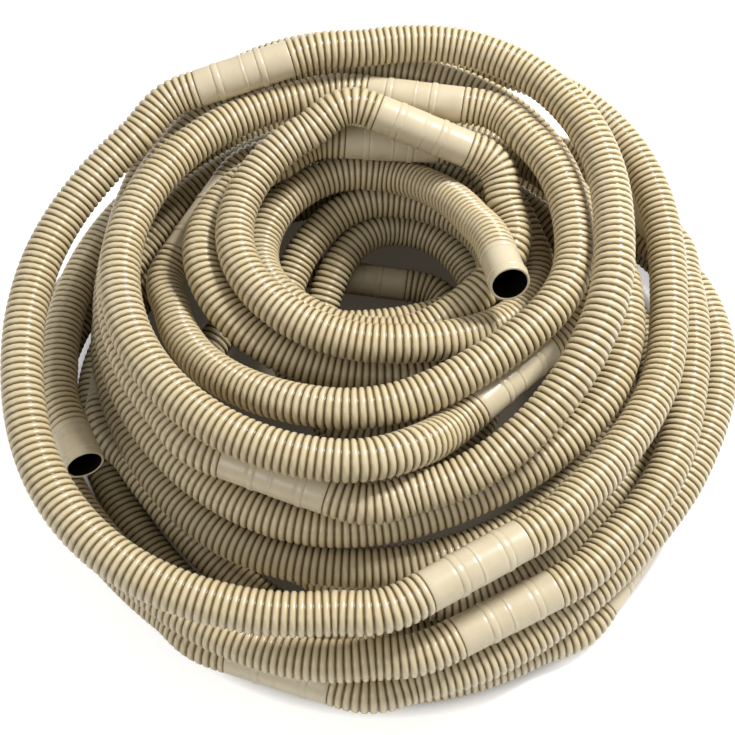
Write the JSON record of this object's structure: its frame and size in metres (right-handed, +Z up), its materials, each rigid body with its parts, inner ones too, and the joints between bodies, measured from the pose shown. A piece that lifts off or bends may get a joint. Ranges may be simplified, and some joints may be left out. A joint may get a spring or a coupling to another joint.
{
  "type": "pool vacuum hose",
  "caption": "Long ribbed suction hose with plain cut-and-join cuffs along it, lying in a loose round pile with both open end cuffs free.",
  "frame": {"origin": "middle of the pile's bounding box, on the floor that it lies on", "axes": "+Z up, +X to the right and -Y towards the viewer, the side that the open upper end points to"},
  "size_m": [0.8832, 0.8138, 0.3209],
  "materials": {
    "hose": "satin",
    "cuffs": "satin"
  },
  "bodies": {
    "root": {"lower_end_cuff": "cuffs", "upper_end_cuff": "cuffs", "hose_run_01": "hose", "hose_run_02": "hose", "hose_run_03": "hose", "hose_run_04": "hose", "hose_run_05": "hose", "hose_run_06": "hose", "hose_run_07": "hose", "hose_run_08": "hose", "hose_run_09": "hose", "hose_run_10": "hose", "hose_run_11": "hose", "hose_run_12": "hose", "hose_run_13": "hose", "hose_run_14": "hose", "hose_run_15": "hose", "double_cuff_01": "cuffs", "double_cuff_02": "cuffs", "double_cuff_03": "cuffs", "double_cuff_04": "cuffs", "double_cuff_05": "cuffs", "double_cuff_06": "cuffs", "double_cuff_07": "cuffs", "double_cuff_08": "cuffs", "double_cuff_09": "cuffs", "double_cuff_10": "cuffs", "double_cuff_11": "cuffs", "double_cuff_12": "cuffs", "double_cuff_13": "cuffs", "double_cuff_14": "cuffs"}
  },
  "joints": []
}
